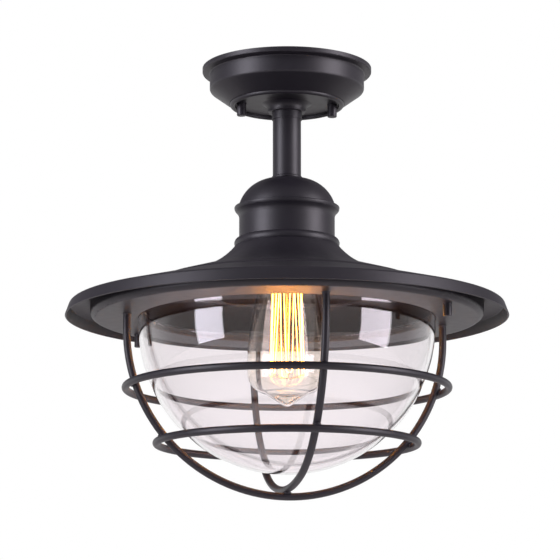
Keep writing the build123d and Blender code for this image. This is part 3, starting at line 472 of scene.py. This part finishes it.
def threaded_rod(low, high, radius, pitch, sides=24, spot=(0.0, 0.0), bore=0.0):
    """A screw thread between two heights, solid or bored. The radius falls from the crest by a V, which
    is a triangle wave of height over pitch less the turn. It runs out over one pitch at both ends."""
    depth = THREAD_DEPTH * pitch
    turn = np.linspace(0, TAU, sides + 1)
    height = np.linspace(low, high, int(THREAD_STEPS * (high - low) / pitch))[:, None]
    vee = np.abs(2 * ((height / pitch - turn / TAU) % 1) - 1)
    run_out = np.clip(np.minimum(height - low, high - height) / pitch, 0, 1)
    skin = upright(radius - depth * (1 - vee * run_out), turn, height, spot)
    foot = upright(bore, turn, np.array([[low]]), spot)
    top = upright(bore, turn, np.array([[high]]), spot)
    if bore:
        return np.concatenate([foot, skin, top, foot])
    return np.concatenate([foot, skin, top])


def build_lamp_pipe():
    """Threaded pipe through the stem: a bored screw thread from end to end."""
    low, high = corners("lamp_pipe")
    rod = threaded_rod(low[2], high[2], high[0], PIPE_PITCH, PIPE_SIDES, bore=PIPE_BORE_R)
    surface("threaded_lamp_pipe", [rod], "fixture", "zinc_plated_steel", "lamp_pipe")


def build_canopy_studs():
    """Two studs from the bar through the canopy: a screw thread each."""
    low, high = corners("canopy_studs")
    radius = high[1]
    spots = ((low[0] + radius, 0.0), (high[0] - radius, 0.0))
    rods = [threaded_rod(low[2], high[2], radius, STUD_PITCH, spot=spot) for spot in spots]
    surface("threaded_canopy_studs", rods, "fixture", "zinc_plated_steel", "canopy_studs")


def build_shade_studs():
    """Two studs under the brim: a screw thread each, with its heights drawn in to follow the brim's slope."""
    radius = corners("canopy_studs")[1][1]
    low, high = corners("shade_studs")
    spot = np.array((low[0] + radius, high[1] - radius))
    inner = np.linalg.norm(spot) - radius
    rods = []
    for way in (1, -1):
        rod = threaded_rod(low[2], high[2], radius, STUD_PITCH, spot=way * spot)
        fall = BRIM_FALL * (np.linalg.norm(rod[..., :2], axis=-1) - inner)
        rod[..., 2] -= np.clip(fall, 0, None) * (rod[..., 2] - low[2]) / (high[2] - low[2])
        rods.append(rod)
    surface("threaded_shade_studs", rods, "fixture", "zinc_plated_steel", "shade_studs")


# Twist-on connectors
CONNECTOR_L = 18.0 * MM
CONNECTOR_TIP_R = 4.2 * MM
CONNECTOR_SKIRT = 5.0 * MM
CONNECTOR_EDGE = 0.7 * MM
CONNECTOR_EDGE_IN = 0.07 * MM
CONNECTOR_RIBS = 12
RIB_DEPTH = 0.55 * MM
RIB_ROWS = 16
RIB_STEPS = 8
LEAD_HOLE_R = 1.05 * MM
LEAD_HOLE_L = 4.1 * MM


def build_connectors():
    """Two twist-on connectors: a taper turned round a level axis, with a lead hole at the mouth, a plain
    skirt, and ribs whose depth is a cosine of the turn."""
    low, high = corners("wire_connectors")
    radius = high[0]
    axis = (low[2] + high[2]) / 2
    ribs_start = CONNECTOR_SKIRT + CONNECTOR_EDGE
    ribs_end = CONNECTOR_L - 2 * CONNECTOR_EDGE
    side = np.linspace(ribs_start, ribs_end, RIB_ROWS)
    taper = np.interp(side, [0, CONNECTOR_L], [radius, CONNECTOR_TIP_R])
    skirt_r = np.interp(CONNECTOR_SKIRT, [0, CONNECTOR_L], [radius, CONNECTOR_TIP_R])
    along = np.concatenate([
        [LEAD_HOLE_L, LEAD_HOLE_L, 0, 0, CONNECTOR_EDGE, CONNECTOR_SKIRT],
        side,
        [CONNECTOR_L, CONNECTOR_L],
    ])[:, None]
    out = np.concatenate([
        [0, LEAD_HOLE_R, LEAD_HOLE_R, radius - CONNECTOR_EDGE, radius - CONNECTOR_EDGE_IN, skirt_r],
        taper,
        [CONNECTOR_TIP_R - 2 * CONNECTOR_EDGE, 0],
    ])[:, None]
    turn = np.linspace(0, TAU, RIB_STEPS * CONNECTOR_RIBS + 1)
    ribbed = (along >= ribs_start) & (along <= ribs_end)
    reach = out - ribbed * RIB_DEPTH * (0.5 - 0.5 * np.cos(CONNECTOR_RIBS * turn))
    mouth = high[1] - CONNECTOR_L
    grids = []
    for way in (1, -1):
        y = way * (mouth + along)
        points = np.broadcast_arrays(reach * np.cos(turn), y, axis + reach * np.sin(turn))
        grids.append(np.stack(points, axis=-1))
    surface("ribbed_wire_connectors", grids, "fixture", "connector_plastic", "wire_connectors")


# Screw base of the lamp
BASE_PITCH = 3.63 * MM
BASE_TURNS = 4.5
BASE_STEPS = 10  # rows for each turn
BASE_SIDES = 64
BASE_RIDGE = 0.5 * MM
BASE_WALL = 0.6 * MM
BASE_LIP_R = 9.0 * MM
BASE_LIP_W = 1.2 * MM


def build_screw_base():
    """Rolled screw base: a shell whose radius is a cosine of height over pitch less the turn, fading in
    and out over half a pitch, then a cone to a turned-in lip."""
    low, high = corners("bulb_base")
    root = high[0] - BASE_RIDGE
    height = low[2] + np.linspace(0, BASE_TURNS * BASE_PITCH, int(BASE_STEPS * BASE_TURNS))[:, None]
    turn = np.linspace(0, TAU, BASE_SIDES + 1)
    rise = (height - low[2]) / BASE_PITCH
    fade = np.clip(2 * np.minimum(rise, BASE_TURNS - rise), 0, 1)
    roll = BASE_RIDGE * fade * (0.5 - 0.5 * np.cos(TAU * (rise - turn / TAU)))
    outside = upright(root + roll, turn, height)
    lip = np.array([
        (BASE_LIP_R, high[2]),
        (BASE_LIP_R - BASE_LIP_W, high[2]),
        (BASE_LIP_R - BASE_LIP_W, high[2] - BASE_WALL),
        (BASE_LIP_R - BASE_WALL, high[2] - BASE_WALL),
    ])
    edge = upright(lip[:, :1], turn, lip[:, 1:])
    inside = upright(root - BASE_WALL + roll, turn, height)[::-1]
    shell = np.concatenate([outside, edge, inside, outside[:1]])
    surface("rolled_screw_base", [shell], "bulb", "lamp_base_metal", "bulb_base")


# Lamp's filament and the wires that hold it
HOOKS = 6
FIRST_HOOK = np.radians(4)
HOOK_BEAD_R = 0.7 * MM
TOP_HOOKS_R = 11.5 * MM
FOOT_HOOKS_R = 14.0 * MM
STRAND_R = 0.38 * MM  # thicker than a real thread, as its glare makes it look
STRAND_TURN_R = 2.1 * MM
STRAND_TURN_STEPS = 9
SUPPORT_R = 0.3 * MM
SUPPORT_SIDES = 8
SUPPORT_STEPS = 5
CURL_TURN = np.radians(290)
CURL_STEPS = 16
BUTTON_R = 3.4 * MM
HUB_R = 2.2 * MM
HUB_DROP = 3.0 * MM


def hook_heights():
    """Heights of the lower and the upper hooks."""
    low, high = corners("bulb_filament")
    return low[2] + HOOK_BEAD_R, high[2] - HOOK_BEAD_R


def build_filament():
    """One closed wire with twelve strands, up and down in turn. Unrolled flat, a strand is a straight
    line between two round turns, touching the upper one on its right and the lower one on its left. The
    strands lie on a slim cone."""
    foot, top = hook_heights()
    middle = (TOP_HOOKS_R + FOOT_HOOKS_R) / 2
    step = middle * np.pi / HOOKS
    drop = top - foot - 2 * STRAND_TURN_R
    slant = np.arccos(2 * STRAND_TURN_R / np.hypot(step, drop)) - np.arctan2(drop, step)
    upper = np.linspace(np.pi / 2, slant, STRAND_TURN_STEPS)
    lower = np.linspace(np.pi + slant, 1.5 * np.pi, STRAND_TURN_STEPS)
    across = np.concatenate([STRAND_TURN_R * np.cos(upper), step + STRAND_TURN_R * np.cos(lower)])
    height = np.concatenate([
        top - STRAND_TURN_R + STRAND_TURN_R * np.sin(upper),
        foot + STRAND_TURN_R + STRAND_TURN_R * np.sin(lower),
    ])
    pair_across = np.concatenate([across[:-1], 2 * step - across[:0:-1]])
    pair_height = np.concatenate([height[:-1], height[:0:-1]])
    turn = FIRST_HOOK + pair_across / middle + np.arange(HOOKS)[:, None] * TAU / HOOKS
    height = np.broadcast_to(pair_height, turn.shape)
    reach = np.interp(height, [foot, top], [FOOT_HOOKS_R, TOP_HOOKS_R])
    path = upright(reach, turn, height).reshape(-1, 3)
    outward = path * (1, 1, 0)
    strands = wire(path, STRAND_R, outward, closed=True)
    surface("looped_filament", [strands], "bulb", "filament", "bulb_filament")


def build_supports():
    """Wires from the button and the hub to the hooks: each is straight, and ends in a curl round the
    filament."""
    foot, top = hook_heights()
    curl = STRAND_R + SUPPORT_R
    grids = []
    for index in range(2 * HOOKS):
        angle = FIRST_HOOK + np.pi * index / HOOKS
        if index % 2:
            root = np.array((HUB_R, foot - HUB_DROP))
            hook = np.array((FOOT_HOOKS_R, foot))
        else:
            root = np.array((BUTTON_R, top))
            hook = np.array((TOP_HOOKS_R, top))
        way = np.arctan2(*(hook - root)[::-1])
        distance = np.linalg.norm(hook - root)
        lean = way - np.arcsin(curl / distance)
        run = np.linspace(0, np.sqrt(distance**2 - curl**2), SUPPORT_STEPS + 1)[:-1, None]
        straight = root + run * (np.cos(lean), np.sin(lean))
        bend = lean - np.pi / 2 + np.linspace(0, CURL_TURN, CURL_STEPS)[:, None]
        curled = hook + curl * np.concatenate([np.cos(bend), np.sin(bend)], axis=1)
        flat = np.concatenate([straight, curled])
        path = upright(flat[:, 0], angle, flat[:, 1])
        aside = np.array((-np.sin(angle), np.cos(angle), 0.0))
        grids.append(wire(path, SUPPORT_R, aside, SUPPORT_SIDES))
    surface("curled_filament_supports", grids, "bulb", "support_wire", "filament_supports")


# Glass of the bowl and the lamp
GLASS_SIDES = 160
BOWL_WALL = 3.0 * MM
BOWL_DROP = 5.3 * MM
BOWL_OPENING = 0.5 * MM
BOWL_STEPS = 72
OPENING_STEPS = 16
FLANGE_T = 4.0 * MM
FLANGE_ROUND = 0.8 * MM
RIM_COVE = 0.9 * MM
LAMP_NECK_R = 11.4 * MM
LAMP_WALL = 0.9 * MM

# Lamp's outline from the neck down: each piece's length, and its turn in degrees, outward if positive
LAMP_LINE = {
    "neck": (2.0 * MM, 0),
    "shoulder": (18.5 * MM, 38),
    "upper side": (16.34 * MM, -23.4),
    "long side": (61.16 * MM, -14.6),
    "round end": (23.5 * MM, -76),
    "tip's cove": (3.67 * MM, 21),
    "tip's side": (13.67 * MM, 0),
    "tip's end": (4.58 * MM, -35),
}


def arc(middle, radius, start, end, steps=12):
    """Points of a flat arc between two angles in degrees: out and up from its middle."""
    angle = np.radians(np.linspace(start, end, steps))[:, None]
    return np.array(middle) + radius * np.concatenate([np.cos(angle), np.sin(angle)], axis=1)


def steady_turns(start, pieces, steps=16):
    """Points of a flat line that starts straight down: each is the sum of the steps before it. A piece has
    a length and a turn in degrees, outward if positive, shared out evenly along it."""
    length = np.repeat([piece[0] / steps for piece in pieces], steps)
    turn = np.radians(np.repeat([piece[1] / steps for piece in pieces], steps))
    heading = np.cumsum(turn) - turn / 2 - np.pi / 2
    moves = length[:, None] * np.stack([np.cos(heading), np.sin(heading)], axis=1)
    return np.concatenate([[start], start + np.cumsum(moves, axis=0)])


def turned(outline):
    """A flat line of radii and heights that starts and ends on the axis, turned round it."""
    turn = np.linspace(0, TAU, GLASS_SIDES + 1)
    return upright(np.clip(outline[:, :1], 0, None), turn, outline[:, 1:])


def build_bowl():
    """Blown bowl: a half sphere whose wall opens above its middle with the square of the height, a cove
    under the flange, the flange with round edges, and the same line again one wall inside."""
    low, high = corners("glass_bowl")
    middle = corners("cage_pan")[0][2] - BOWL_DROP
    radius = middle - low[2]
    under = high[2] - FLANGE_T
    climb = under - RIM_COVE - middle
    rise = np.linspace(0, climb, OPENING_STEPS)[1:]
    open_wall = BOWL_OPENING * (rise / climb) ** 2
    mouth = radius + BOWL_OPENING
    inner_mouth = mouth - BOWL_WALL
    edge_r = high[0] - FLANGE_ROUND
    outline = np.concatenate([
        arc((0, middle), radius, -90, 0, BOWL_STEPS),
        np.stack([radius + open_wall, middle + rise], axis=1),
        arc((mouth + RIM_COVE, under - RIM_COVE), RIM_COVE, 180, 90),
        arc((edge_r, under + FLANGE_ROUND), FLANGE_ROUND, -90, 0),
        arc((edge_r, high[2] - FLANGE_ROUND), FLANGE_ROUND, 0, 90),
        arc((inner_mouth + FLANGE_ROUND, high[2] - FLANGE_ROUND), FLANGE_ROUND, 90, 180),
        np.stack([radius - BOWL_WALL + open_wall, middle + rise], axis=1)[::-1],
        arc((0, middle), radius - BOWL_WALL, 0, -90, BOWL_STEPS),
    ])
    surface("blown_glass_bowl", [turned(outline)], "cage", "clear_glass", "glass_bowl")


def build_lamp_glass():
    """Blown lamp glass: neck, shoulder, long sides, a low round end and a pinched tip, as one line of
    steady turns. The inside is the same line, one wall in along its normals."""
    top = corners("bulb_glass")[1][2]
    outside = steady_turns(np.array((LAMP_NECK_R, top)), LAMP_LINE.values())
    outside[-1, 0] = 0
    ahead = np.gradient(outside, axis=0)
    normal = np.stack([ahead[:, 1], -ahead[:, 0]], axis=1) / np.linalg.norm(ahead, axis=1, keepdims=True)
    inside = outside + LAMP_WALL * normal
    inside[0] = (LAMP_NECK_R - LAMP_WALL, top)
    inside[-1] = (0, outside[-1, 1] + LAMP_WALL)
    outline = np.concatenate([outside[::-1], inside])
    surface("blown_lamp_glass", [turned(outline)], "bulb", "lamp_glass", "bulb_glass")


# Welds of the cage
CAGE_TURN = np.radians(9.3)
HOOP_LEGS = 4
HOOP_LEG = 12.3 * MM
WELD_H = 1.7 * MM
WELD_W = 3.5 * MM
WELD_STEPS = 12
LEG_WELD = 1.3 * MM
LEG_WELD_IN = 0.3 * MM
LEG_WELD_STEPS = 9
LEG_WELD_SIDES = 32


def weld_bead(spot, out, along):
    """A bead between two crossed wires: an ellipsoid, flat along the line from one wire to the other."""
    over = np.cross(out, along)
    turn = np.linspace(0, TAU, 2 * WELD_STEPS + 1)[None, :, None]
    tilt = np.linspace(0, np.pi, WELD_STEPS + 1)[:, None, None]
    ring = WELD_W * np.sin(tilt) * (np.cos(turn) * along + np.sin(turn) * over)
    return spot + WELD_H * np.cos(tilt) * out + ring


def build_welds():
    """Beads where the rings cross the hoops and where the hoops cross, and a small cove, which is a
    quarter circle turned, round each leg's top."""
    wire_r = (corners("cage_ring_upper")[1][2] - corners("cage_ring_upper")[0][2]) / 2
    pan_z = corners("cage_pan")[0][2]
    middle = np.array((0.0, 0.0, pan_z - HOOP_LEG))
    hoop_r = -corners("cage_hoop_side")[0][2] + middle[2] - wire_r
    angles = CAGE_TURN + np.arange(HOOP_LEGS) * TAU / HOOP_LEGS
    grids = []
    for ring in ("cage_ring_upper", "cage_ring_lower"):
        low, high = corners(ring)
        height = (low[2] + high[2]) / 2
        reach = high[0] - wire_r
        for angle in angles:
            from_middle = np.array((reach * np.cos(angle), reach * np.sin(angle), height)) - middle
            out = from_middle / np.linalg.norm(from_middle)
            along = np.array((-np.sin(angle), np.cos(angle), 0.0))
            spot = middle + out * (hoop_r + np.linalg.norm(from_middle)) / 2
            grids.append(weld_bead(spot, out, along))
    crossing = (corners("cage_hoop_side")[0][2] + 2 * wire_r + corners("cage_hoop_front")[0][2]) / 2
    down = np.array((0.0, 0.0, -1.0))
    grids.append(weld_bead(np.array((0.0, 0.0, crossing)), down, np.array((1.0, 0.0, 0.0))))
    bend = np.linspace(0, np.pi / 2, LEG_WELD_STEPS)
    cove_r = wire_r + LEG_WELD * (1 - np.cos(bend))
    cove_z = pan_z - LEG_WELD * (1 - np.sin(bend))
    inner_r = wire_r - LEG_WELD_IN
    cove_r = np.concatenate([cove_r, [inner_r, inner_r, cove_r[0]]])[:, None]
    cove_z = np.concatenate([cove_z, [pan_z, cove_z[0], cove_z[0]]])[:, None]
    turn = np.linspace(0, TAU, LEG_WELD_SIDES + 1)
    for angle in angles:
        spot = (hoop_r * np.cos(angle), hoop_r * np.sin(angle))
        grids.append(upright(cove_r, turn, cove_z, spot))
    surface("cage_welds", grids, "cage", "black_powder_coat")


build_lamp_pipe()
build_canopy_studs()
build_shade_studs()
build_connectors()
build_screw_base()
build_filament()
build_supports()
build_bowl()
build_lamp_glass()
build_welds()

build_world()
build_floor()
build_soft_box("left_soft_box", turn=-60, wide=0.56, tint="#f6f2ff")
build_soft_box("right_soft_box", turn=70, wide=0.66, tint="#fcf4ff")
build_camera()

scene = bpy.context.scene
scene.view_settings.view_transform = "Standard"
